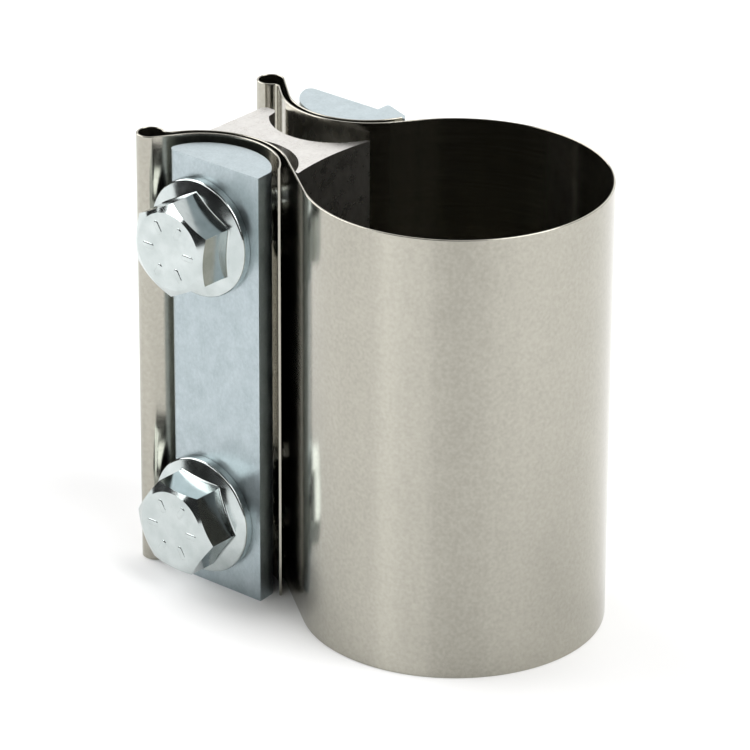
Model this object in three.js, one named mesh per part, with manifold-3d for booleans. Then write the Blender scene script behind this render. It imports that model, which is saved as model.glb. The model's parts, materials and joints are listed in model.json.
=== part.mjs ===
// Two-bolt pipe repair clamp: a wide sheet band with doubled, curled flanges, a reaction block
// between the flanges, a half-round bar in the hollow of each flange, two bolts and two nuts.
//
// Frame: millimetres, +Z along the pipe, origin on the pipe's axis at the level the clamp stands on.
// The flanges reach towards -X. The bolts lie along Y, heads at -Y and nuts at +Y.
// The clamp is loose, so the flanges lean a little to the bolt bar's side of the pipe's axis.

import * as THREE from 'three';
import { mergeVertices } from 'three/addons/utils/BufferGeometryUtils.js';
import Module from 'manifold-3d';

const wasm = await Module();
wasm.setup();

// Band: one strip of sheet. Radii run to the middle of the sheet.
const BAND_HEIGHT = 80;
const SHEET = 0.4;
const RING_RADIUS = 25.8; // inside, a little over the pipe's 25.4 while the clamp is loose
const BACK_GAP = 0.3; // between the two halves, opposite the flanges
const FLANGE_X = -36.3;
const FLANGE_SPREAD = 22.3; // from the flanges' middle plane to the middle of each flange's bow
const FLANGE_MIDDLE_Y = -2.0;
const FLANGE_RADIUS = 15.3;
const HEM_RADIUS = 13.4; // the folded-back layer
const LAYER_PITCH = 1.1; // between the two layers' middles at the neck
const CURL_RADIUS = 2.3;
const CURL_BLEND_RADIUS = 1.0;
// Each half's lip: the direction in which it leaves the bow, the straight run to its curl,
// and the angle at which the folded-back layer ends.
const LIPS = {
  far: { heading: THREE.MathUtils.degToRad(138), reach: 7.4, hemEnd: -0.4 },
  near: { heading: THREE.MathUtils.degToRad(124), reach: 4.6, hemEnd: -0.56 },
};

// Bars: half-round, crowns towards the band.
const BAR_LENGTH = 79;
const BAR_HALF_WIDTH = 10.4;
const BAR_THICKNESS = 8.5;
const BAR_CORNER_RADIUS = 1.2; // between the flat face and the crown, on the side away from the ring
// Flat on the ring side of the bar that has no rib, from the flat face up to the crown.
const BAR_SIDE = { x: 9.8, height: 3.4 };
const BOLT_BAR = { x: -36.0, faceY: -20.2 };
const NUT_BAR = { x: -36.0, faceY: 16.2 };
// Rib along the nut bar's ring side: it rises steeply next to the nuts and slopes down to a toe.
const RIB_HEIGHT = 2.6;
const RIB_EASE = 0.45;
const RIB_FOOT = { x: 10.6, height: 0.75 };
const RIB_TOE = { x: 11.3, depth: 0.3 };
const RIB_MEETS_CROWN = 0.14; // angle on the crown

// Fasteners: M10, both across flats of 15.
const BOLT_X = -38.5;
const BOLT_HEIGHTS = [65.2, 13.2];
const HEAD_TURNS = [0.04, 0.62]; // how far each head's first corner stands from straight up
const ACROSS_FLATS = 15;
const HEAD_FLANGE_RADIUS = 10.5;
const HEAD_FLANGE_RIM = 1.5;
const HEAD_FLANGE_HEIGHT = 2.75; // where the flange's cone meets the flats
const HEAD_HEIGHT = 9.1;
const FACE_RADIUS = 6.9; // flat end of a head or a nut
const FACE_CHAMFER = 1.1;
const SHANK_RADIUS = 4.9;
const SHANK_LENGTH = 50;
const POINT_CHAMFER = 1.1;
const NUT_BORE_RADIUS = 5.0;
const NUT_HEIGHT = 8.4;
const BAR_HOLE_RADIUS = 5.5;
const BLOCK_HOLE_RADIUS = 6.0;
const BAND_HOLE_RADIUS = 7.5;
const DRILL_REACH = 40; // past every piece on both sides
const SEAT_GAP = 0.06; // between a head or a nut and its bar
const NUT_TO_RIB = 0.1;

// Reaction block: hourglass with a round scoop for each flange and a hollow end for the pipe.
const BLOCK_BOTTOM = 0.6;
const BLOCK_LENGTH = 77;
const BLOCK_CENTRE_Y = -2.3;
const BLOCK_OUTER_X = -48.7;
const BLOCK_LIP = 3.1;
const BLOCK_INNER_X = -24.9;
const BLOCK_HALF_WIDTH = 9.25;
const BLOCK_HOLLOW_RADIUS = 48;
const BLOCK_EASE = 0.75; // flat that eases each lip's corners
const SCOOP = { x: -36.2, radius: 11.4, halfWaist: 2.1, startAngle: -2.48 };

const STEEL_BAND = { color: 0xa8a39a, roughness: 0.32, metalness: 1.0 };
const STEEL_BLOCK = { color: 0xc9c6c0, roughness: 0.45, metalness: 0.9 };
const ZINC_BAR = { color: 0xb4bec4, roughness: 0.42, metalness: 0.9 };
const ZINC_FASTENER = { color: 0xcdd0d2, roughness: 0.2, metalness: 1.0 };

// ---------------------------------------------------------------- solids

function solidOf(geometry) {
  const bare = geometry.clone();
  bare.deleteAttribute('normal');
  bare.deleteAttribute('uv');
  const merged = mergeVertices(bare, 1e-5);
  return new wasm.Manifold(new wasm.Mesh({
    numProp: 3,
    vertProperties: new Float32Array(merged.attributes.position.array),
    triVerts: new Uint32Array(merged.index.array),
  }));
}

function geometryOf(solid) {
  const mesh = solid.getMesh();
  const geometry = new THREE.BufferGeometry();
  geometry.setAttribute('position', new THREE.BufferAttribute(mesh.vertProperties, 3));
  geometry.setIndex(new THREE.BufferAttribute(mesh.triVerts, 1));
  geometry.computeVertexNormals();
  return geometry;
}

// A prism along Z from an outline in the XY plane.
function prism(points, bottom, length) {
  const geometry = new THREE.ExtrudeGeometry(new THREE.Shape(points), {
    depth: length,
    bevelEnabled: false,
    curveSegments: 1,
  });
  return solidOf(geometry.translate(0, 0, bottom));
}

// A cylinder along Y, used for holes.
function drill(radius, x, z, fromY, toY) {
  const geometry = new THREE.CylinderGeometry(radius, radius, toY - fromY, 48);
  return solidOf(geometry.translate(x, (fromY + toY) / 2, z));
}

function drilledAtBolts(solid, radius, fromY, toY) {
  return BOLT_HEIGHTS.reduce((left, z) => left.subtract(drill(radius, BOLT_X, z, fromY, toY)), solid);
}

function meshOf(name, solid, look) {
  const mesh = new THREE.Mesh(geometryOf(solid), new THREE.MeshStandardMaterial(look));
  mesh.name = name;
  return mesh;
}

// ---------------------------------------------------------------- outlines

function polar(centre, radius, angle) {
  return new THREE.Vector2(centre.x + radius * Math.cos(angle), centre.y + radius * Math.sin(angle));
}

// Points along an arc, both ends included; the angle may run either way.
function arcPoints(centre, radius, fromAngle, toAngle, step = 0.12) {
  const count = Math.max(2, Math.ceil(Math.abs(toAngle - fromAngle) / step));
  return Array.from({ length: count + 1 }, (_, i) =>
    polar(centre, radius, fromAngle + ((toAngle - fromAngle) * i) / count));
}

// Middle line of half the band, for +Y, as bends: arcs in order, joined by straight runs.
function bandBends(flangeY, lip) {
  const ringRadius = RING_RADIUS + SHEET / 2;
  const origin = { x: 0, y: 0 };
  const flange = { x: FLANGE_X, y: flangeY };
  const hem = { x: FLANGE_X, y: flangeY - FLANGE_RADIUS + HEM_RADIUS + LAYER_PITCH };
  const reach = Math.hypot(flange.x, flange.y);
  const bearing = Math.atan2(flange.y, flange.x);
  const tangentAngle = bearing - Math.acos((ringRadius + FLANGE_RADIUS) / reach);
  const barwardAngle = lip.heading - Math.PI / 2;
  const along = polar(origin, 1, lip.heading);
  const barward = polar(origin, 1, barwardAngle);
  const curl = {
    x: hem.x - barward.x * (HEM_RADIUS + CURL_RADIUS) + along.x * lip.reach,
    y: hem.y - barward.y * (HEM_RADIUS + CURL_RADIUS) + along.y * lip.reach,
  };
  // How far the inner layer's lip runs from the middle of the curl, towards the bar.
  const lipOffset = (flange.x - curl.x) * barward.x + (flange.y - curl.y) * barward.y - FLANGE_RADIUS;
  const blendAcross = lipOffset - CURL_BLEND_RADIUS;
  const blendDown = Math.sqrt((CURL_RADIUS + CURL_BLEND_RADIUS) ** 2 - blendAcross ** 2);
  const blend = {
    x: curl.x + barward.x * blendAcross - along.x * blendDown,
    y: curl.y + barward.y * blendAcross - along.y * blendDown,
  };
  const leave = Math.atan2(blend.y - curl.y, blend.x - curl.x);
  return [
    { centre: origin, radius: ringRadius, from: BACK_GAP / 2 / ringRadius, to: tangentAngle },
    { centre: flange, radius: FLANGE_RADIUS, from: tangentAngle + Math.PI, to: barwardAngle + Math.PI },
    {
      centre: blend,
      radius: CURL_BLEND_RADIUS,
      from: barwardAngle,
      to: turnTo(leave + Math.PI, barwardAngle, 1),
    },
    { centre: curl, radius: CURL_RADIUS, from: leave, to: turnTo(barwardAngle, leave, -1) },
    { centre: hem, radius: HEM_RADIUS, from: barwardAngle - Math.PI, to: lip.hemEnd },
  ];
}

// The angle equal to target that is reached from start by turning in the given direction.
function turnTo(target, start, direction) {
  const whole = 2 * Math.PI;
  const turn = (((target - start) * direction) % whole + whole) % whole;
  return start + direction * turn;
}

// Outline of a strip of sheet: out along one face of every bend, back along the other.
function stripOutline(bends) {
  const faces = [[], []];
  for (const { centre, radius, from, to } of bends) {
    const side = Math.sign(to - from);
    const step = radius > 5 ? 0.075 : 0.35;
    faces[0].push(...arcPoints(centre, radius + (side * SHEET) / 2, from, to, step));
    faces[1].push(...arcPoints(centre, radius - (side * SHEET) / 2, from, to, step));
  }
  return [...faces[0], ...faces[1].reverse()];
}

function mirroredInY(points) {
  return points.map((p) => new THREE.Vector2(p.x, -p.y)).reverse();
}

// Half-round bar section: x along the flat face towards the ring, y towards the crown.
function barSection(ribX) {
  const cornerAngle = Math.asin(BAR_CORNER_RADIUS / BAR_THICKNESS);
  const cornerX = BAR_CORNER_RADIUS - BAR_HALF_WIDTH * Math.cos(cornerAngle);
  const hasRib = ribX !== undefined;
  const crownStart = hasRib ? RIB_MEETS_CROWN : Math.asin(BAR_SIDE.height / BAR_THICKNESS);
  const crown = arcPoints({ x: 0, y: 0 }, 1, crownStart, Math.PI - cornerAngle)
    .map((p) => new THREE.Vector2(p.x * BAR_HALF_WIDTH, p.y * BAR_THICKNESS));
  const corner = arcPoints(
    { x: cornerX, y: BAR_CORNER_RADIUS },
    BAR_CORNER_RADIUS,
    Math.PI,
    Math.PI * 1.5,
    0.4,
  ).slice(1);
  const rib = [
    new THREE.Vector2(ribX, 0),
    new THREE.Vector2(ribX, RIB_EASE - RIB_HEIGHT),
    new THREE.Vector2(ribX + RIB_EASE, -RIB_HEIGHT),
    new THREE.Vector2(RIB_FOOT.x, -RIB_FOOT.height),
    new THREE.Vector2(RIB_TOE.x, RIB_TOE.depth),
  ];
  return [...crown, ...corner, ...(hasRib ? rib : [new THREE.Vector2(BAR_SIDE.x, 0)])];
}

// ---------------------------------------------------------------- sub-parts

// side is 1 for the far half and -1 for the near half.
function bandHalf(name, side, lip) {
  const outline = stripOutline(bandBends(FLANGE_SPREAD + side * FLANGE_MIDDLE_Y, lip));
  const shell = prism(side > 0 ? outline : mirroredInY(outline), 0, BAND_HEIGHT);
  const reach = side > 0 ? [0, DRILL_REACH] : [-DRILL_REACH, 0];
  return meshOf(name, drilledAtBolts(shell, BAND_HOLE_RADIUS, ...reach), STEEL_BAND);
}

function bar(name, { x, faceY }, crownDirection, ribX) {
  const outline = barSection(ribX).map((p) => new THREE.Vector2(x + p.x, faceY + crownDirection * p.y));
  const blank = prism(outline, 0, BAR_LENGTH);
  return meshOf(name, drilledAtBolts(blank, BAR_HOLE_RADIUS, -DRILL_REACH, DRILL_REACH), ZINC_BAR);
}

function reactionBlock() {
  const scoop = { x: SCOOP.x, y: SCOOP.radius + SCOOP.halfWaist };
  const tipAngle = -Math.asin((scoop.y - BLOCK_HALF_WIDTH) / SCOOP.radius);
  const hollowHalfAngle = Math.asin(BLOCK_HALF_WIDTH / BLOCK_HOLLOW_RADIUS);
  const hollow = { x: BLOCK_INNER_X + BLOCK_HOLLOW_RADIUS * Math.cos(hollowHalfAngle), y: 0 };
  const half = [
    new THREE.Vector2(BLOCK_OUTER_X, BLOCK_HALF_WIDTH - BLOCK_EASE),
    new THREE.Vector2(BLOCK_OUTER_X + BLOCK_EASE, BLOCK_HALF_WIDTH),
    new THREE.Vector2(BLOCK_OUTER_X + BLOCK_LIP - BLOCK_EASE, BLOCK_HALF_WIDTH),
    new THREE.Vector2(BLOCK_OUTER_X + BLOCK_LIP, BLOCK_HALF_WIDTH - BLOCK_EASE),
    ...arcPoints(scoop, SCOOP.radius, SCOOP.startAngle, tipAngle),
  ];
  const hollowEnd = arcPoints(
    hollow,
    BLOCK_HOLLOW_RADIUS,
    Math.PI - hollowHalfAngle,
    Math.PI + hollowHalfAngle,
    0.06,
  );
  const outline = [...half, ...hollowEnd, ...mirroredInY(half)]
    .map((p) => new THREE.Vector2(p.x, p.y + BLOCK_CENTRE_Y));
  const blank = prism(outline, BLOCK_BOTTOM, BLOCK_LENGTH);
  return meshOf('reaction_block', drilledAtBolts(blank, BLOCK_HOLE_RADIUS, -DRILL_REACH, DRILL_REACH), STEEL_BLOCK);
}

// A hexagonal prism along +Y, from y = 0, with a corner at +Z turned towards +X.
function hexPrism(height, turn) {
  const radius = ACROSS_FLATS / Math.sqrt(3);
  const geometry = new THREE.CylinderGeometry(radius, radius, height, 6);
  return solidOf(geometry.rotateY(turn).translate(0, height / 2, 0));
}

// A solid turned about Y from (radius, y) pairs.
function turned(profile) {
  return solidOf(new THREE.LatheGeometry(profile.map(([r, y]) => new THREE.Vector2(r, y)), 48));
}

function bolt(name, z, headTurn) {
  const cornerRadius = ACROSS_FLATS / Math.sqrt(3) + 0.1;
  const chamfer = turned([
    [0, -HEAD_HEIGHT],
    [FACE_RADIUS, -HEAD_HEIGHT],
    [cornerRadius, -HEAD_HEIGHT + FACE_CHAMFER],
    [cornerRadius, 0],
    [0, 0],
  ]);
  const head = hexPrism(HEAD_HEIGHT, headTurn).translate(0, -HEAD_HEIGHT, 0).intersect(chamfer);
  const body = turned([
    [0, -HEAD_FLANGE_HEIGHT],
    [FACE_RADIUS, -HEAD_FLANGE_HEIGHT],
    [HEAD_FLANGE_RADIUS, -HEAD_FLANGE_RIM],
    [HEAD_FLANGE_RADIUS, 0],
    [SHANK_RADIUS, 0],
    [SHANK_RADIUS, SHANK_LENGTH - POINT_CHAMFER],
    [SHANK_RADIUS - POINT_CHAMFER, SHANK_LENGTH],
    [0, SHANK_LENGTH],
  ]);
  const mesh = meshOf(name, head.add(body), ZINC_FASTENER);
  mesh.position.set(BOLT_X, BOLT_BAR.faceY - SEAT_GAP, z);
  return mesh;
}

function nut(name, z) {
  const cornerRadius = ACROSS_FLATS / Math.sqrt(3) + 0.1;
  const rounding = turned([
    [0, 0],
    [FACE_RADIUS, 0],
    [cornerRadius, FACE_CHAMFER],
    [cornerRadius, NUT_HEIGHT - FACE_CHAMFER],
    [FACE_RADIUS, NUT_HEIGHT],
    [0, NUT_HEIGHT],
  ]);
  const bore = drill(NUT_BORE_RADIUS, 0, 0, -1, NUT_HEIGHT + 1);
  const mesh = meshOf(name, hexPrism(NUT_HEIGHT, 0).intersect(rounding).subtract(bore), ZINC_FASTENER);
  mesh.position.set(BOLT_X, NUT_BAR.faceY + SEAT_GAP, z);
  return mesh;
}

const clamp = new THREE.Group();
clamp.add(
  bandHalf('band_far_half', 1, LIPS.far),
  bandHalf('band_near_half', -1, LIPS.near),
  reactionBlock(),
  bar('bolt_bar', BOLT_BAR, 1),
  bar('nut_bar', NUT_BAR, -1, BOLT_X + ACROSS_FLATS / 2 + NUT_TO_RIB - NUT_BAR.x),
  bolt('upper_bolt', BOLT_HEIGHTS[0], HEAD_TURNS[0]),
  bolt('lower_bolt', BOLT_HEIGHTS[1], HEAD_TURNS[1]),
  nut('upper_nut', BOLT_HEIGHTS[0]),
  nut('lower_nut', BOLT_HEIGHTS[1]),
);

export default clamp;
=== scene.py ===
"""Visual model of the pipe repair clamp: band, block, bars, bolts and nuts, and the studio round them."""

import json
import math

import bmesh
import bpy
from mathutils import Matrix, Vector


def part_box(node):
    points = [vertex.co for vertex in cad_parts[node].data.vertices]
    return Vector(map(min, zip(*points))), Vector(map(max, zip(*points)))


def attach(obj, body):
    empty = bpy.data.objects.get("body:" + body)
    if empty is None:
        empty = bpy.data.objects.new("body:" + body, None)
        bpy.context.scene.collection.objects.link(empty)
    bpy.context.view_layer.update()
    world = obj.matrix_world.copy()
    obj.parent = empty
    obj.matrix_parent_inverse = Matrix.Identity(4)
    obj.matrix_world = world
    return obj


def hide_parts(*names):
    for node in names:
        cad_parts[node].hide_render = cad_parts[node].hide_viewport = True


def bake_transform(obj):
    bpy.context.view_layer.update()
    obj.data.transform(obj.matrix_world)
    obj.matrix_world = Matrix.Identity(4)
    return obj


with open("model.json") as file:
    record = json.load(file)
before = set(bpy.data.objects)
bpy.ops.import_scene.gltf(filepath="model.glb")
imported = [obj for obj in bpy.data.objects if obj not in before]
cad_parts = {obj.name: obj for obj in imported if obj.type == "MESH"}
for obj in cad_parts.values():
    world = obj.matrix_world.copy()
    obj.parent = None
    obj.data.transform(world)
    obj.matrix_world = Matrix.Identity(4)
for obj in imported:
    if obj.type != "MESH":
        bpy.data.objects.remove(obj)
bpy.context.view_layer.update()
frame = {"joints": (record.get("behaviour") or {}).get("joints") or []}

MM = 0.001
SIXTH = math.pi / 3
FLAT_ANGLE = math.radians(28)  # edges sharper than this stay crisp
EASED_ANGLE = FLAT_ANGLE * 0.7  # edges sharper than this can be rounded
THROUGH_ALL = (-40, 40)  # along Y, a cut that passes right through a piece
ROUND_SIDES = 64  # sides of a drilled hole and of the floor

# Where each bolt's axis lies, from the joints.
AXES = {j["child"]: Vector(j["pos_m"]) / MM for j in frame["joints"] if j["name"].endswith("bolt_turn")}
BOLT_HEIGHTS = [axis.z for axis in AXES.values()]
BOLT_X = AXES["top_bolt"].x

# Heights and lengths along the pipe, from the CAD nodes, in millimetres.
BAND_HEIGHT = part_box("band_far_half")[1].z / MM
BAR_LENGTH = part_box("bolt_bar")[1].z / MM
BLOCK_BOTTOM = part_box("reaction_block")[0].z / MM
BLOCK_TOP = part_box("reaction_block")[1].z / MM

# Band: radii run to the middle of the sheet.
SHEET = 0.4
RING_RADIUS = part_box("band_far_half")[1].x / MM - SHEET / 2
SHEARED_EDGE = 0.17  # round on the sheet's sheared edges
FLANGE_X = -36.3
FLANGE_SPREAD = 22.3
FLANGE_MIDDLE_Y = -2.0
FLANGE_RADIUS = 15.3
HEM_RADIUS = 13.4
LAYER_PITCH = 1.1
CURL_RADIUS = 2.3
CURL_BLEND_RADIUS = 1.0
# Far and near lip: heading, straight run, and where the folded-back layer ends.
LIPS = {1: (math.radians(138), 7.4, -0.4), -1: (math.radians(124), 4.6, -0.56)}
BAND_HOLE_RADIUS = 7.5
FAR_LIP_SPAN = (0, 30)  # along Y, where the far lip is cut
NEAR_LIP_SPAN = (-30, -3)
WIDE_BEND = 5  # bends of a larger radius are drawn in steps of WIDE_STEP
WIDE_STEP = 0.8
TIGHT_STEP = 0.14  # step of the other bends, in radians
SHEET_ROWS = 8  # rows of faces up the sheet

# Bars.
BAR_HALF_WIDTH = 10.4
BAR_THICKNESS = 8.5
BAR_CORNER_RADIUS = 1.2
BAR_SIDE = (9.8, 3.4)  # flat on the ring side without a rib: where it meets the face, and its height
BOLT_BAR = (-36.0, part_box("bolt_bar")[0].y / MM)
NUT_BAR = (-36.0, 16.2)
RIB_HEIGHT = 2.6
RIB_EASE = 0.45
RIB_FOOT = (10.6, -0.75)
RIB_TOE = (11.3, 0.3)
RIB_MEETS_CROWN = 0.14
BAR_HOLE_RADIUS = 5.5
BAR_EDGE = (0.22, 3)  # width and segments of the eased edges
CROWN_STEP = 0.06  # in radians, as the next two
CORNER_STEP = 0.16
CREST_STEP = 0.3

# Block.
BLOCK_CENTRE_Y = -2.3
BLOCK_OUTER_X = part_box("reaction_block")[0].x / MM
BLOCK_INNER_X = -24.9
BLOCK_LIP = 3.1
BLOCK_HALF_WIDTH = 9.25
BLOCK_HOLLOW_RADIUS = 48
BLOCK_EASE = 0.75
BLOCK_HOLE_RADIUS = 6.0
SCOOP_X = -36.2
SCOOP_RADIUS = 11.4
SCOOP_HALF_WAIST = 2.1
SCOOP_START_ANGLE = -2.48
BLOCK_EDGE = (0.25, 3)  # width and segments of the eased edges
SCOOP_STEP = 0.06  # in radians, as the next one
HOLLOW_STEP = 0.04

# Bolts and nuts.
ACROSS_FLATS = 15
HEAD_TURNS = {"top_bolt": 0.04, "bottom_bolt": 0.62}
HEAD_FLANGE_RADIUS = 10.5
HEAD_FLANGE_RIM = 1.5
HEAD_FLANGE_HEIGHT = 2.75
HEAD_FLANGE_ROUND = 0.45  # on the rim
HEAD_FILLET = 0.45  # between the flats and the flange
HEAD_HEIGHT = 9.1
MARK_HEIGHT = 0.15
MARK_THICKNESS = 3 * MARK_HEIGHT  # two thirds of it lie in the head
MARK_SIZE = (1.1, 1.0, 2.5)  # before it is flattened to MARK_THICKNESS
MARK_EDGE = (0.45, 5)
MARK_DISTANCE = 4.4  # from the bolt's axis
FACE_HEIGHT = HEAD_HEIGHT - MARK_HEIGHT
FACE_RADIUS = 6.9
FACE_CHAMFER = 1.1
CHAMFER_MARGIN = 0.1  # the chamfer would be FACE_CHAMFER deep this far beyond the corners
HEX_EDGE = (0.16, 2)  # width and segments of the eased edges
OUTSIDE_RADIUS = 6  # the outside of a head or nut lies further than this from the axis
SIDE_STEPS = 10  # steps along one side of a hexagon
LEANS = (0, 0.25, 0.5, 0.75, 1)  # steps round the fillet and the rim
CONE_LEAN = math.pi / 2 - math.atan2(HEAD_FLANGE_HEIGHT - HEAD_FLANGE_RIM, HEAD_FLANGE_RADIUS - FACE_RADIUS)
SHANK_RADIUS = 4.9
SHANK_LENGTH = 50
POINT_CHAMFER = 1.1
THREAD_START = 24
THREAD_PITCH = 1.5
THREAD_ROOT = 4.08
THREAD_RUNOUT = 2.0
THREAD_ROW = 0.125  # between rows of points
NUT_HEIGHT = 8.4
NUT_BORE_RADIUS = 5.0
NUT_COUNTERSINK = 0.5
SEAT_GAP = 0.06
NUT_TO_RIB = 0.1
GRADE_MARKS = 6
RIB_X = BOLT_X + ACROSS_FLATS / 2 + NUT_TO_RIB - NUT_BAR[0]  # the rib's side, from the nut bar's middle


# ---------------------------------------------------------------- meshes


def made_object(name, bm):
    """An object from a bmesh in millimetres, in the row frame."""
    bmesh.ops.recalc_face_normals(bm, faces=bm.faces)
    bmesh.ops.scale(bm, vec=(MM, MM, MM), verts=bm.verts)
    mesh = bpy.data.meshes.new(name)
    bm.to_mesh(mesh)
    bm.free()
    made = bpy.data.objects.new(name, mesh)
    bpy.context.scene.collection.objects.link(made)
    return made


def ease_edges(bm, width, segments, keep=lambda edge: True):
    """Rounds every edge sharper than EASED_ANGLE that keep accepts."""
    sharp = [
        e for e in bm.edges
        if len(e.link_faces) == 2 and e.calc_face_angle() > EASED_ANGLE and keep(e)
    ]
    bmesh.ops.bevel(
        bm, geom=sharp, offset=width, segments=segments, profile=0.5, affect="EDGES", clamp_overlap=True
    )


def settled(made):
    """Turns made's modifiers into mesh."""
    graph = bpy.context.evaluated_depsgraph_get()
    mesh = bpy.data.meshes.new_from_object(made.evaluated_get(graph))
    made.modifiers.clear()
    made.data = mesh
    return made


def combined(made, operation, tools):
    """Cuts the tools from made or joins them to it, and removes them."""
    for tool in tools:
        step = made.modifiers.new("combine", "BOOLEAN")
        step.operation = operation
        step.solver = "EXACT"
        step.object = tool
    settled(made)
    for tool in tools:
        bpy.data.objects.remove(tool)
    return made


def drills(radius, from_y, to_y):
    """A cutter for each bolt."""
    middle = (from_y + to_y) / 2
    tools = []
    for height in BOLT_HEIGHTS:
        place = Matrix.Translation((BOLT_X, middle, height)) @ Matrix.Rotation(math.pi / 2, 4, "X")
        bm = bmesh.new()
        bmesh.ops.create_cone(
            bm, cap_ends=True, segments=ROUND_SIDES, matrix=place,
            radius1=radius, radius2=radius, depth=to_y - from_y,
        )
        tools.append(made_object("drill", bm))
    return tools


def finished(made, node_names, material):
    """Shades the piece, gives it its material and hides the CAD nodes that it stands for."""
    made.data.shade_smooth()
    made.data.set_sharp_from_angle(angle=FLAT_ANGLE)
    evened = made.modifiers.new("normals", "WEIGHTED_NORMAL")
    evened.keep_sharp = True
    settled(made)
    made.data.materials.clear()
    made.data.materials.append(material)
    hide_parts(*node_names)
    return made


def prism(outline, bottom, top):
    """A bmesh that stands on an outline in the XY plane."""
    bm = bmesh.new()
    low = [bm.verts.new((p[0], p[1], bottom)) for p in outline]
    high = [bm.verts.new((p[0], p[1], top)) for p in outline]
    bm.faces.new(low[::-1])
    bm.faces.new(high)
    for i, start in enumerate(low):
        after = (i + 1) % len(low)
        bm.faces.new((start, low[after], high[after], high[i]))
    return bm


def spun(rings, angles, seat_y, height):
    """A closed bmesh turned about a bolt's axis, from rings of (radius, y), a pair for every angle.

    The first and last ring shrink to a point where their radius is 0, else they join each other.
    """
    bm = bmesh.new()
    rows = []
    for ring in rings:
        if ring[0][0] == 0:
            rows.append([bm.verts.new((BOLT_X, seat_y + ring[0][1], height))] * len(angles))
            continue
        rows.append([
            bm.verts.new((BOLT_X + r * math.sin(a), seat_y + y, height + r * math.cos(a)))
            for (r, y), a in zip(ring, angles)
        ])
    if rings[0][0][0] != 0:
        rows.append(rows[0])
    for row, following in zip(rows, rows[1:]):
        for i in range(len(angles)):
            after = (i + 1) % len(angles)
            corners = dict.fromkeys((row[i], row[after], following[after], following[i]))
            bm.faces.new(list(corners))
    return bm


# ---------------------------------------------------------------- outlines


def polar(centre, radius, angle):
    return Vector((centre[0] + radius * math.cos(angle), centre[1] + radius * math.sin(angle)))


def arc(centre, radius, start, end, step):
    count = max(2, math.ceil(abs(end - start) / step))
    return [polar(centre, radius, start + (end - start) * i / count) for i in range(count + 1)]


def turn_to(target, start, direction):
    """The angle equal to target that is reached from start by turning in the given direction."""
    return start + direction * (((target - start) * direction) % math.tau)


def band_bends(flange_y, heading, reach, hem_end):
    """Middle line of half the band, for +Y: arcs (centre, radius, start, end) joined by straight runs."""
    flange = Vector((FLANGE_X, flange_y))
    hem = Vector((FLANGE_X, flange_y - FLANGE_RADIUS + HEM_RADIUS + LAYER_PITCH))
    tangent = math.atan2(flange.y, flange.x) - math.acos((RING_RADIUS + FLANGE_RADIUS) / flange.length)
    barward_angle = heading - math.pi / 2
    along = polar((0, 0), 1, heading)
    barward = polar((0, 0), 1, barward_angle)
    curl = hem - barward * (HEM_RADIUS + CURL_RADIUS) + along * reach
    across = (flange - curl).dot(barward) - FLANGE_RADIUS - CURL_BLEND_RADIUS
    down = math.sqrt((CURL_RADIUS + CURL_BLEND_RADIUS) ** 2 - across**2)
    blend = curl + barward * across - along * down
    leave = math.atan2(blend.y - curl.y, blend.x - curl.x)
    return [
        ((0, 0), RING_RADIUS, 0, tangent),
        (flange, FLANGE_RADIUS, tangent + math.pi, barward_angle + math.pi),
        (blend, CURL_BLEND_RADIUS, barward_angle, turn_to(leave + math.pi, barward_angle, 1)),
        (curl, CURL_RADIUS, leave, turn_to(barward_angle, leave, -1)),
        (hem, HEM_RADIUS, barward_angle - math.pi, hem_end),
    ]


def half_line(side):
    """Points of half the band's middle line with the normals that point out of the ring, from its back."""
    line = []
    for centre, radius, start, end in band_bends(FLANGE_SPREAD + side * FLANGE_MIDDLE_Y, *LIPS[side]):
        step = WIDE_STEP / radius if radius > WIDE_BEND else TIGHT_STEP
        turn = math.copysign(1, end - start)
        for point in arc(centre, radius, start, end, step):
            normal = (point - Vector(centre)).normalized() * turn
            line.append((Vector((point.x, side * point.y)), Vector((normal.x, side * normal.y))))
    return line


def sheet_section():
    """The cut across the sheet's width: (offset from the middle line, height), with round edges."""
    half = SHEET / 2
    middle = (half - SHEARED_EDGE, BAND_HEIGHT - SHEARED_EDGE)
    corner = [
        (middle[0] + SHEARED_EDGE * math.cos(a), middle[1] + SHEARED_EDGE * math.sin(a))
        for a in (0, math.pi / 6, math.pi / 3, math.pi / 2)
    ]
    wall_height = BAND_HEIGHT - 2 * SHEARED_EDGE
    wall = [(half, SHEARED_EDGE + wall_height * i / SHEET_ROWS) for i in range(1, SHEET_ROWS)]
    top = corner + [(-across, height) for across, height in corner[::-1]]
    left = [(-across, height) for across, height in wall[::-1]]
    bottom = [(-across, BAND_HEIGHT - height) for across, height in top]
    return top + left + bottom + wall


def bar_section(rib_x=None):
    """Half-round section: x along the flat face towards the ring, y towards the crown."""
    corner_angle = math.asin(BAR_CORNER_RADIUS / BAR_THICKNESS)
    corner = (BAR_CORNER_RADIUS - BAR_HALF_WIDTH * math.cos(corner_angle), BAR_CORNER_RADIUS)
    crown_start = math.asin(BAR_SIDE[1] / BAR_THICKNESS) if rib_x is None else RIB_MEETS_CROWN
    crown = arc((0, 0), 1, crown_start, math.pi - corner_angle, CROWN_STEP)
    outline = [(p.x * BAR_HALF_WIDTH, p.y * BAR_THICKNESS) for p in crown]
    outline += arc(corner, BAR_CORNER_RADIUS, math.pi, math.pi * 1.5, CORNER_STEP)[1:]
    if rib_x is None:
        return outline + [(BAR_SIDE[0], 0)]
    crest = arc((rib_x + RIB_EASE, RIB_EASE - RIB_HEIGHT), RIB_EASE, -math.pi, -math.pi / 2, CREST_STEP)
    return outline + [(rib_x, 0)] + crest + [RIB_FOOT, RIB_TOE]


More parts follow.
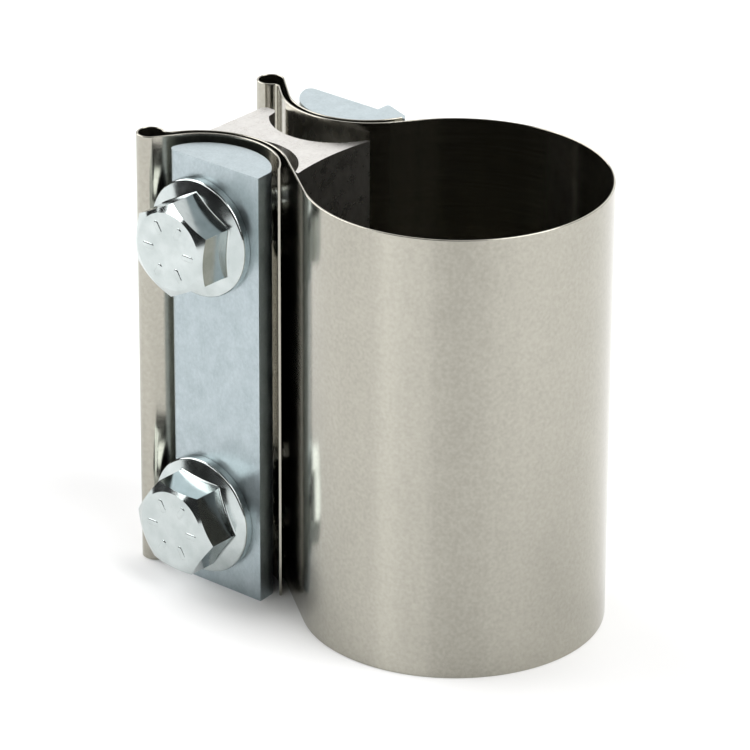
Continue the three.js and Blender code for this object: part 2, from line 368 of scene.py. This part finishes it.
def block_outline():
    scoop = (SCOOP_X, SCOOP_RADIUS + SCOOP_HALF_WAIST)
    tip = -math.asin((scoop[1] - BLOCK_HALF_WIDTH) / SCOOP_RADIUS)
    half_angle = math.asin(BLOCK_HALF_WIDTH / BLOCK_HOLLOW_RADIUS)
    hollow = (BLOCK_INNER_X + BLOCK_HOLLOW_RADIUS * math.cos(half_angle), 0)
    half = [
        (BLOCK_OUTER_X, BLOCK_HALF_WIDTH - BLOCK_EASE),
        (BLOCK_OUTER_X + BLOCK_EASE, BLOCK_HALF_WIDTH),
        (BLOCK_OUTER_X + BLOCK_LIP - BLOCK_EASE, BLOCK_HALF_WIDTH),
        (BLOCK_OUTER_X + BLOCK_LIP, BLOCK_HALF_WIDTH - BLOCK_EASE),
    ] + arc(scoop, SCOOP_RADIUS, SCOOP_START_ANGLE, tip, SCOOP_STEP)
    end = arc(hollow, BLOCK_HOLLOW_RADIUS, math.pi - half_angle, math.pi + half_angle, HOLLOW_STEP)
    other = [(p[0], -p[1]) for p in half[::-1]]
    return [(p[0], p[1] + BLOCK_CENTRE_Y) for p in half + end + other]


# ---------------------------------------------------------------- pieces


def band(material):
    """The whole strip, as one piece; nothing here lets it flex opposite the flanges."""
    near, far = half_line(-1), half_line(1)
    line = near[:0:-1] + far
    section = sheet_section()
    bm = bmesh.new()
    loops = [
        [bm.verts.new((*(point + normal * across), height)) for across, height in section]
        for point, normal in line
    ]
    for loop, following in zip(loops, loops[1:]):
        for i in range(len(section)):
            after = (i + 1) % len(section)
            bm.faces.new((loop[i], loop[after], following[after], following[i]))
    bm.faces.new(loops[0])
    bm.faces.new(loops[-1])
    made = made_object("band", bm)
    far_holes = drills(BAND_HOLE_RADIUS, *FAR_LIP_SPAN)
    combined(made, "DIFFERENCE", far_holes + drills(BAND_HOLE_RADIUS, *NEAR_LIP_SPAN))
    finished(made, ["band_far_half", "band_near_half"], material)
    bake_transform(made)


def bar(name, place, crown, material, body, rib_x=None):
    """crown is the way the round side faces along Y."""
    outline = [(place[0] + x, place[1] + crown * y) for x, y in bar_section(rib_x)]
    bm = prism(outline, 0, BAR_LENGTH)
    ease_edges(bm, *BAR_EDGE)
    made = combined(made_object(name + "_piece", bm), "DIFFERENCE", drills(BAR_HOLE_RADIUS, *THROUGH_ALL))
    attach(finished(made, [name], material), body)


def block(material):
    bm = prism(block_outline(), BLOCK_BOTTOM, BLOCK_TOP)
    ease_edges(bm, *BLOCK_EDGE)
    made = combined(made_object("block_piece", bm), "DIFFERENCE", drills(BLOCK_HOLE_RADIUS, *THROUGH_ALL))
    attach(finished(made, ["reaction_block"], material), "block")


def hex_angles():
    """Angles round a hexagon with a corner at 0."""
    return [SIXTH * i / SIDE_STEPS for i in range(6 * SIDE_STEPS)]


def hex_radius(angle):
    return ACROSS_FLATS / 2 / math.cos(angle % SIXTH - SIXTH / 2)


def chamfer_drop(radius):
    """How far a hexagon's chamfer lies below its flat end at a radius."""
    corner = ACROSS_FLATS / math.sqrt(3) + CHAMFER_MARGIN
    return (radius - FACE_RADIUS) * FACE_CHAMFER / (corner - FACE_RADIUS)


def cone_height(radius):
    """How far the head flange's cone stands above its underside at a radius."""
    slope = (HEAD_FLANGE_HEIGHT - HEAD_FLANGE_RIM) / (HEAD_FLANGE_RADIUS - FACE_RADIUS)
    return HEAD_FLANGE_HEIGHT - (radius - FACE_RADIUS) * slope


def fillet_point(radius, lean):
    """A point of the fillet between a flat, where lean is 0, and the cone, where it is 1."""
    angle = lean * CONE_LEAN
    foot = radius + HEAD_FILLET * (1 - math.cos(CONE_LEAN))
    middle = cone_height(foot) + HEAD_FILLET * math.sin(CONE_LEAN)
    return radius + HEAD_FILLET * (1 - math.cos(angle)), HEAD_FILLET * math.sin(angle) - middle


def rim_point(lean):
    """A point of the rim's round between the side, where lean is 0, and the cone, where it is 1."""
    angle = lean * CONE_LEAN
    inner = HEAD_FLANGE_RADIUS - HEAD_FLANGE_ROUND
    meets = inner + HEAD_FLANGE_ROUND * math.cos(CONE_LEAN)
    middle = cone_height(meets) - HEAD_FLANGE_ROUND * math.sin(CONE_LEAN)
    return inner + HEAD_FLANGE_ROUND * math.cos(angle), -middle - HEAD_FLANGE_ROUND * math.sin(angle)


def thread_radius(y, angle):
    """A right-hand 60 degree thread that runs in gently and ends in the point's chamfer."""
    crest = THREAD_PITCH / 8
    depth = SHANK_RADIUS - THREAD_ROOT
    flank = depth * math.tan(math.pi / 6)
    along = (y - THREAD_PITCH * angle / math.tau) % THREAD_PITCH
    if along < crest:
        cut = 0
    elif along < crest + flank:
        cut = (along - crest) / flank
    elif along < THREAD_PITCH - flank:
        cut = 1
    else:
        cut = (THREAD_PITCH - along) / flank
    grown = min(1, (y - THREAD_START) / THREAD_RUNOUT)
    point = SHANK_RADIUS - POINT_CHAMFER + (SHANK_LENGTH - y)
    return min(SHANK_RADIUS - depth * cut * grown, point)


def outside(height):
    """Accepts the edges on the outside of a head or nut of the bolt at that height."""
    axis = Vector((BOLT_X, 0, height))
    return lambda edge: all((v.co - axis).xz.length > OUTSIDE_RADIUS for v in edge.verts)


def grade_marks(face_y, height):
    """Short raised dashes that point out from the middle of a bolt's face."""
    tools = []
    for i in range(GRADE_MARKS):
        bm = bmesh.new()
        bmesh.ops.create_cube(bm, size=1)
        bmesh.ops.scale(bm, vec=MARK_SIZE, verts=bm.verts)
        ease_edges(bm, *MARK_EDGE)
        bmesh.ops.scale(bm, vec=(1, MARK_THICKNESS, 1), verts=bm.verts)
        turned = Matrix.Translation((BOLT_X, face_y, height)) @ Matrix.Rotation(SIXTH * (i + 0.5), 4, "Y")
        place = turned @ Matrix.Translation((0, MARK_HEIGHT / 2, MARK_DISTANCE))
        bmesh.ops.transform(bm, matrix=place, verts=bm.verts)
        tools.append(made_object("mark", bm))
    return tools


def bolt(name, body, material):
    height = AXES[body].z
    seat_y = BOLT_BAR[1] - SEAT_GAP
    turn = HEAD_TURNS[body]
    angles = hex_angles()
    rings = [
        [(0, -FACE_HEIGHT)] * len(angles),
        [(FACE_RADIUS, -FACE_HEIGHT)] * len(angles),
        [(hex_radius(a), chamfer_drop(hex_radius(a)) - FACE_HEIGHT) for a in angles],
    ]
    rings += [[fillet_point(hex_radius(a), lean) for a in angles] for lean in LEANS]
    rings += [[rim_point(lean)] * len(angles) for lean in LEANS[::-1]]
    rings += [
        [(HEAD_FLANGE_RADIUS, 0)] * len(angles),
        [(SHANK_RADIUS, 0)] * len(angles),
        [(SHANK_RADIUS, THREAD_START)] * len(angles),
    ]
    rows = round((SHANK_LENGTH - THREAD_START) / THREAD_ROW)
    for row in range(1, rows + 1):
        y = THREAD_START + row * THREAD_ROW
        rings.append([(thread_radius(y, a + turn), y) for a in angles])
    rings.append([(0, SHANK_LENGTH)] * len(angles))
    bm = spun(rings, [a + turn for a in angles], seat_y, height)
    ease_edges(bm, *HEX_EDGE, outside(height))
    made = made_object(name + "_piece", bm)
    combined(made, "UNION", grade_marks(seat_y - FACE_HEIGHT, height))
    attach(finished(made, [name], material), body)


def nut(name, height, material):
    angles = hex_angles()
    half = [
        [(NUT_BORE_RADIUS, NUT_COUNTERSINK)] * len(angles),
        [(NUT_BORE_RADIUS + NUT_COUNTERSINK, 0)] * len(angles),
        [(FACE_RADIUS, 0)] * len(angles),
        [(hex_radius(a), chamfer_drop(hex_radius(a))) for a in angles],
    ]
    other = [[(r, NUT_HEIGHT - y) for r, y in ring] for ring in half[::-1]]
    bm = spun(half + other, angles, NUT_BAR[1] + SEAT_GAP, height)
    ease_edges(bm, *HEX_EDGE, outside(height))
    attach(finished(made_object(name + "_piece", bm), [name], material), "far_side")


# ---------------------------------------------------------------- materials


class Nodes:
    """A material's nodes, added and linked by name."""

    def __init__(self, name):
        self.material = bpy.data.materials.new(name)
        self.material.use_nodes = True
        self.tree = self.material.node_tree
        self.shader = self.tree.nodes["Principled BSDF"]
        self.place = self.add("ShaderNodeTexCoord").outputs["Object"]

    def add(self, kind, **settings):
        node = self.tree.nodes.new(kind)
        for key, value in settings.items():
            setattr(node, key, value)
        return node

    def noise(self, stretch, detail=4.0, roughness=0.55):
        """Noise of 0 to 1 with that many cells a metre along X, Y and Z."""
        mapping = self.add("ShaderNodeMapping")
        mapping.inputs["Scale"].default_value = stretch
        self.tree.links.new(self.place, mapping.inputs["Vector"])
        noise = self.add("ShaderNodeTexNoise")
        noise.inputs["Scale"].default_value = 1.0
        noise.inputs["Detail"].default_value = detail
        noise.inputs["Roughness"].default_value = roughness
        self.tree.links.new(mapping.outputs["Vector"], noise.inputs["Vector"])
        return noise.outputs["Fac"]

    def spread(self, value, low, high, from_low=0.3, from_high=0.7):
        """value, of which from_low to from_high becomes low to high."""
        node = self.add("ShaderNodeMapRange")
        for socket, number in zip(node.inputs[1:5], (from_low, from_high, low, high)):
            socket.default_value = number
        self.tree.links.new(value, node.inputs["Value"])
        return node.outputs["Result"]

    def sum(self, first, second):
        node = self.add("ShaderNodeMath", operation="ADD")
        self.tree.links.new(first, node.inputs[0])
        self.tree.links.new(second, node.inputs[1])
        return node.outputs["Value"]

    def bearing(self):
        """0 to 1 round the pipe's axis, from -180 to 180 degrees."""
        split = self.add("ShaderNodeSeparateXYZ")
        self.tree.links.new(self.place, split.inputs["Vector"])
        angle = self.add("ShaderNodeMath", operation="ARCTAN2")
        self.tree.links.new(split.outputs["Y"], angle.inputs[0])
        self.tree.links.new(split.outputs["X"], angle.inputs[1])
        return self.spread(angle.outputs["Value"], 0, 1, -math.pi, math.pi)

    def ramp(self, value, stops, interpolation="LINEAR"):
        node = self.add("ShaderNodeValToRGB")
        node.color_ramp.interpolation = interpolation
        elements = node.color_ramp.elements
        while len(elements) < len(stops):
            elements.new(0.5)
        for element, (position, colour) in zip(elements, stops):
            element.position = position
            element.color = (*colour, 1)
        self.tree.links.new(value, node.inputs["Fac"])
        return node.outputs["Color"]

    def bump(self, height, strength, distance):
        node = self.add("ShaderNodeBump")
        node.inputs["Strength"].default_value = strength
        node.inputs["Distance"].default_value = distance
        self.tree.links.new(height, node.inputs["Height"])
        self.set("Normal", node.outputs["Normal"])

    def set(self, name, value):
        if isinstance(value, bpy.types.NodeSocket):
            self.tree.links.new(value, self.shader.inputs[name])
        else:
            self.shader.inputs[name].default_value = value


# Painted reflections and shade: upright light and dark bands painted into the strip's colour by bearing
# round the ring, set by comparing renders with the photo, where they are mostly reflections; the darkest
# band, at -50 degrees where the strip faces the camera, is painted shade. Bearing round the ring in
# degrees, brightness of 0 to 1.
PAINTED_REFLECTIONS = [
    (-180, 0.6), (-121, 0.5), (-102, 0.45), (-94, 0.4), (-84, 0.5), (-76, 0.95),
    (-66, 0.66), (-62, 0.56), (-57, 0.2), (-50, 0.06), (-43, 0.15), (-35, 0.38),
    (-25, 0.56), (0, 0.6), (40, 0.7), (90, 0.45), (180, 0.6),
]
PAINTED_REFLECTION_SHARE = 0.85  # how much the painted reflection and shade bands count for beside the mottle


def band_steel():
    """Mill-rolled stainless strip, with painted reflections and shade in upright bands round the ring."""
    nodes = Nodes("band_steel")
    grain = nodes.noise((90, 90, 2600), detail=3)
    cloud = nodes.noise((130, 130, 130), detail=3)
    fine = nodes.noise((1500, 1500, 1500), detail=2)
    mottle = nodes.sum(nodes.spread(cloud, 0, 0.1), nodes.spread(fine, -0.16, 0.18))
    # Painted reflections and shade: the upright bands by bearing round the ring, added to the mottle.
    levels = [((bearing + 180) / 360, (level * PAINTED_REFLECTION_SHARE,) * 3) for bearing, level in PAINTED_REFLECTIONS]
    both = nodes.sum(mottle, nodes.ramp(nodes.bearing(), levels, "EASE"))
    dark, light = (0.30, 0.289, 0.25), (0.465, 0.448, 0.39)
    nodes.set("Base Color", nodes.ramp(both, [(0.0, dark), (1.0, light)]))
    nodes.set("Roughness", nodes.spread(grain, 0.14, 0.19))
    nodes.set("Metallic", 1.0)
    nodes.set("Anisotropic", 0.3)
    nodes.set("Anisotropic Rotation", 0.25)
    nodes.bump(grain, 0.06, 0.02 * MM)
    return nodes.material


def block_steel():
    """Sawn and tumbled steel section."""
    nodes = Nodes("block_steel")
    cloud = nodes.noise((420, 420, 420), detail=5)
    fine = nodes.noise((2200, 2200, 700), detail=3)
    both = nodes.sum(nodes.spread(cloud, 0, 0.6), nodes.spread(fine, 0, 0.4))
    dark, light = (0.45, 0.435, 0.41), (0.62, 0.605, 0.58)
    nodes.set("Base Color", nodes.ramp(both, [(0.0, dark), (1.0, light)]))
    nodes.set("Roughness", nodes.spread(cloud, 0.26, 0.3))
    nodes.set("Metallic", 1.0)
    nodes.bump(fine, 0.12, 0.03 * MM)
    return nodes.material


def bar_zinc():
    """Clear blue zinc plate over a rolled surface."""
    nodes = Nodes("bar_zinc")
    cloud = nodes.noise((300, 300, 240), detail=6, roughness=0.65)
    fine = nodes.noise((2600, 2600, 1800), detail=3)
    both = nodes.sum(nodes.spread(cloud, 0, 0.65), nodes.spread(fine, 0, 0.35))
    dark, light = (0.31, 0.365, 0.385), (0.475, 0.54, 0.565)
    nodes.set("Base Color", nodes.ramp(both, [(0.0, dark), (1.0, light)]))
    nodes.set("Roughness", nodes.spread(cloud, 0.28, 0.4))
    nodes.set("Metallic", 1.0)
    nodes.bump(fine, 0.25, 0.03 * MM)
    return nodes.material


def fastener_zinc():
    """Bright zinc plate over forged steel."""
    nodes = Nodes("fastener_zinc")
    cloud = nodes.noise((350, 350, 350), detail=4)
    dark, light = (0.45, 0.495, 0.49), (0.56, 0.605, 0.6)
    nodes.set("Base Color", nodes.ramp(nodes.spread(cloud, 0, 1), [(0.0, dark), (1.0, light)]))
    nodes.set("Roughness", nodes.spread(cloud, 0.1, 0.17))
    nodes.set("Metallic", 1.0)
    nodes.bump(cloud, 0.2, 0.05 * MM)
    return nodes.material


# ---------------------------------------------------------------- studio

AZIMUTH = 40.04  # the camera's heading and elevation, in degrees
ELEVATION = 25.11
ROLL = math.radians(0.294)
ORIGIN_IN_VIEW = Vector((0.013307, -0.039740, -0.881142))  # right, up and back from the camera
LENS = 245.7
FLOOR_RADIUS = 6000
LIGHT_DISTANCE = 3  # in metres
GLOW = (200, 30)  # heading and elevation of the brightest part of the surroundings
GLOW_STRENGTH = 1.8


def heading_vector(heading, elevation):
    """Where something lies, from its heading (0 towards -Y, 90 towards +X) and elevation in degrees."""
    turn, rise = math.radians(heading), math.radians(elevation)
    return Vector((math.sin(turn) * math.cos(rise), -math.cos(turn) * math.cos(rise), math.sin(rise)))


def camera():
    back = heading_vector(AZIMUTH, ELEVATION)
    turn = math.radians(AZIMUTH)
    right = Vector((math.cos(turn), math.sin(turn), 0))
    level = Matrix((right, back.cross(right), back)).transposed()
    turned = level @ Matrix.Rotation(ROLL, 3, "Z")
    data = bpy.data.cameras.new("camera")
    data.lens = LENS
    data.sensor_width = 36
    data.clip_start = 0.01
    data.clip_end = 50
    made = bpy.data.objects.new("camera", data)
    made.matrix_world = Matrix.Translation(-(turned @ ORIGIN_IN_VIEW)) @ turned.to_4x4()
    bpy.context.scene.collection.objects.link(made)
    bpy.context.scene.camera = made


def floor():
    bm = bmesh.new()
    bmesh.ops.create_circle(bm, cap_ends=True, segments=ROUND_SIDES, radius=FLOOR_RADIUS)
    made = made_object("floor", bm)
    nodes = Nodes("floor_white")
    nodes.set("Base Color", (0.9, 0.9, 0.9, 1))
    nodes.set("Roughness", 0.7)
    nodes.set("Specular IOR Level", 0.2)
    made.data.materials.append(nodes.material)


def softbox(name, heading, elevation, width, height, power):
    """An area light that looks at the clamp."""
    towards = heading_vector(heading, elevation)
    data = bpy.data.lights.new(name, "AREA")
    data.shape = "RECTANGLE"
    data.size = width
    data.size_y = height
    data.energy = power
    made = bpy.data.objects.new(name, data)
    made.location = towards * LIGHT_DISTANCE
    made.rotation_mode = "QUATERNION"
    made.rotation_quaternion = towards.to_track_quat("Z", "Y")
    bpy.context.scene.collection.objects.link(made)


def surroundings():
    """A studio that is bright behind the clamp and dim elsewhere."""
    world = bpy.data.worlds.new("studio")
    world.use_nodes = True
    tree = world.node_tree
    coord = tree.nodes.new("ShaderNodeTexCoord")
    nearness = tree.nodes.new("ShaderNodeVectorMath")
    nearness.operation = "DOT_PRODUCT"
    nearness.inputs[1].default_value = heading_vector(*GLOW)
    ramp = tree.nodes.new("ShaderNodeValToRGB")
    stops = [(0.0, 0.015), (0.55, 0.015), (0.75, 0.15), (0.88, 0.5), (0.94, 0.95)]
    while len(ramp.color_ramp.elements) < len(stops):
        ramp.color_ramp.elements.new(0.5)
    for element, (position, level) in zip(ramp.color_ramp.elements, stops):
        element.position = position
        element.color = (level, level, level, 1)
    tree.links.new(coord.outputs["Generated"], nearness.inputs[0])
    tree.links.new(nearness.outputs["Value"], ramp.inputs["Fac"])
    tree.links.new(ramp.outputs["Color"], tree.nodes["Background"].inputs["Color"])
    tree.nodes["Background"].inputs["Strength"].default_value = GLOW_STRENGTH
    bpy.context.scene.world = world


camera()
floor()
surroundings()
softbox("front_left", -34, 30, 1.8, 0.6, 15)
softbox("front", 11, 47, 1.4, 0.9, 7)
softbox("right", 98, 40, 2.8, 2.8, 112)
softbox("left", -82, 40, 2.6, 2.6, 90)
bpy.context.scene.view_settings.view_transform = "Standard"

band(band_steel())
block(block_steel())
zinc = bar_zinc()
bar("bolt_bar", BOLT_BAR, 1, zinc, "bolt_side")
bar("nut_bar", NUT_BAR, -1, zinc, "far_side", RIB_X)
bright = fastener_zinc()
bolt("upper_bolt", "top_bolt", bright)
bolt("lower_bolt", "bottom_bolt", bright)
nut("upper_nut", BOLT_HEIGHTS[0], bright)
nut("lower_nut", BOLT_HEIGHTS[1], bright)
